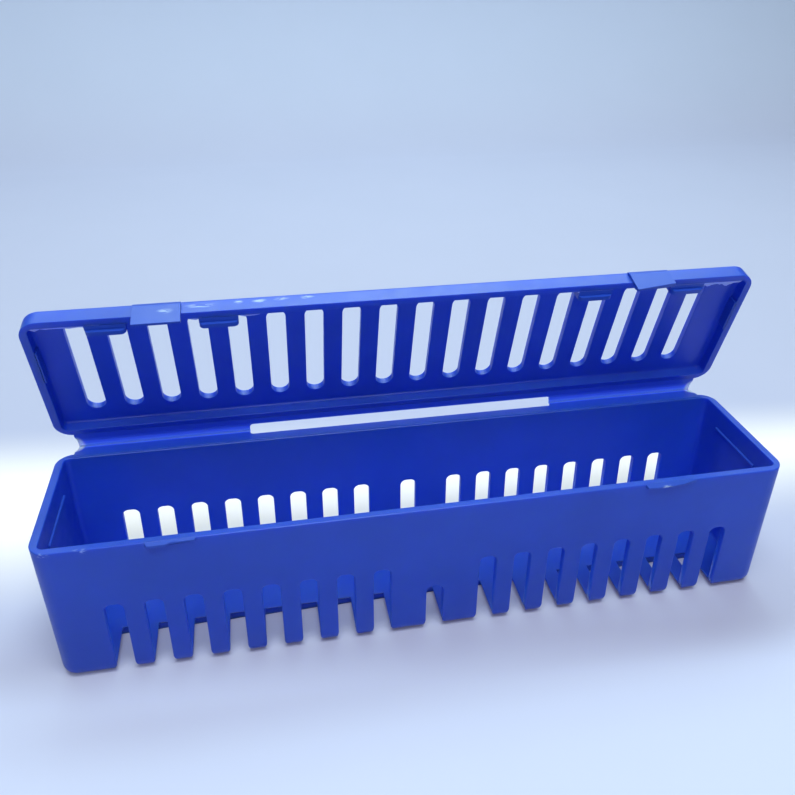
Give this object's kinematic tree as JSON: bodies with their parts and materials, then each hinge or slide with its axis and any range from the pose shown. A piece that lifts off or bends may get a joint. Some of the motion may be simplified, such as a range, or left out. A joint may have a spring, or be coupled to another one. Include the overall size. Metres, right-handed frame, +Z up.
{
  "type": "instrument sterilising cassette",
  "caption": "Long slotted plastic cassette that holds small hand instruments for cleaning, with a slotted lid on a moulded living hinge and snap tabs along its front.",
  "frame": {"origin": "middle of the tray's flat underside", "axes": "+X along the length of the box, -Y towards the front with the latches, +Y towards the hinge, +Z up from the underside to the rim"},
  "size_m": [0.181, 0.0468, 0.0814],
  "materials": {
    "tray_plastic": "satin moulded polypropylene, royal blue",
    "lid_plastic": "satin moulded polypropylene, royal blue",
    "hinge_plastic": "thin flexed polypropylene, royal blue, a little paler on the fold"
  },
  "bodies": {
    "tray": {"tray_body": "tray_plastic", "tray_catch_left": "tray_plastic", "tray_catch_right": "tray_plastic", "tray_ridge_left": "tray_plastic", "tray_ridge_right": "tray_plastic", "tray_leaf_left": "hinge_plastic", "tray_leaf_right": "hinge_plastic", "tray_hinge_strip": "hinge_plastic", "hinge_film_left": "hinge_plastic", "hinge_film_right": "hinge_plastic"},
    "lid": {"lid_body": "lid_plastic", "lid_leaf_left": "hinge_plastic", "lid_leaf_right": "hinge_plastic", "lid_hinge_strip": "hinge_plastic", "lid_lug_outer_left": "lid_plastic", "lid_lug_inner_left": "lid_plastic", "lid_lug_inner_right": "lid_plastic", "lid_lug_outer_right": "lid_plastic", "lid_pad_left": "lid_plastic", "lid_pad_right": "lid_plastic"},
    "left_tab": {"lid_tab_left": "lid_plastic"},
    "right_tab": {"lid_tab_right": "lid_plastic"}
  },
  "joints": [
    {"name": "lid_hinge", "type": "hinge", "parent": "tray", "child": "lid", "pos_m": [0, 0.0233, 0.03814], "axis": [-1, 0, 0], "range_deg": [-71.5, 108.5], "stiffness_Nm_per_rad": 0.015, "springref_deg": 1.6},
    {"name": "left_tab_flex", "type": "hinge", "parent": "lid", "child": "left_tab", "pos_m": [-0.0602, 0.01327, 0.08098], "axis": [-1, 0, 0], "range_deg": [0, 10], "stiffness_Nm_per_rad": 0.2},
    {"name": "right_tab_flex", "type": "hinge", "parent": "lid", "child": "right_tab", "pos_m": [0.0613, 0.01327, 0.08098], "axis": [-1, 0, 0], "range_deg": [0, 10], "stiffness_Nm_per_rad": 0.2}
  ]
}
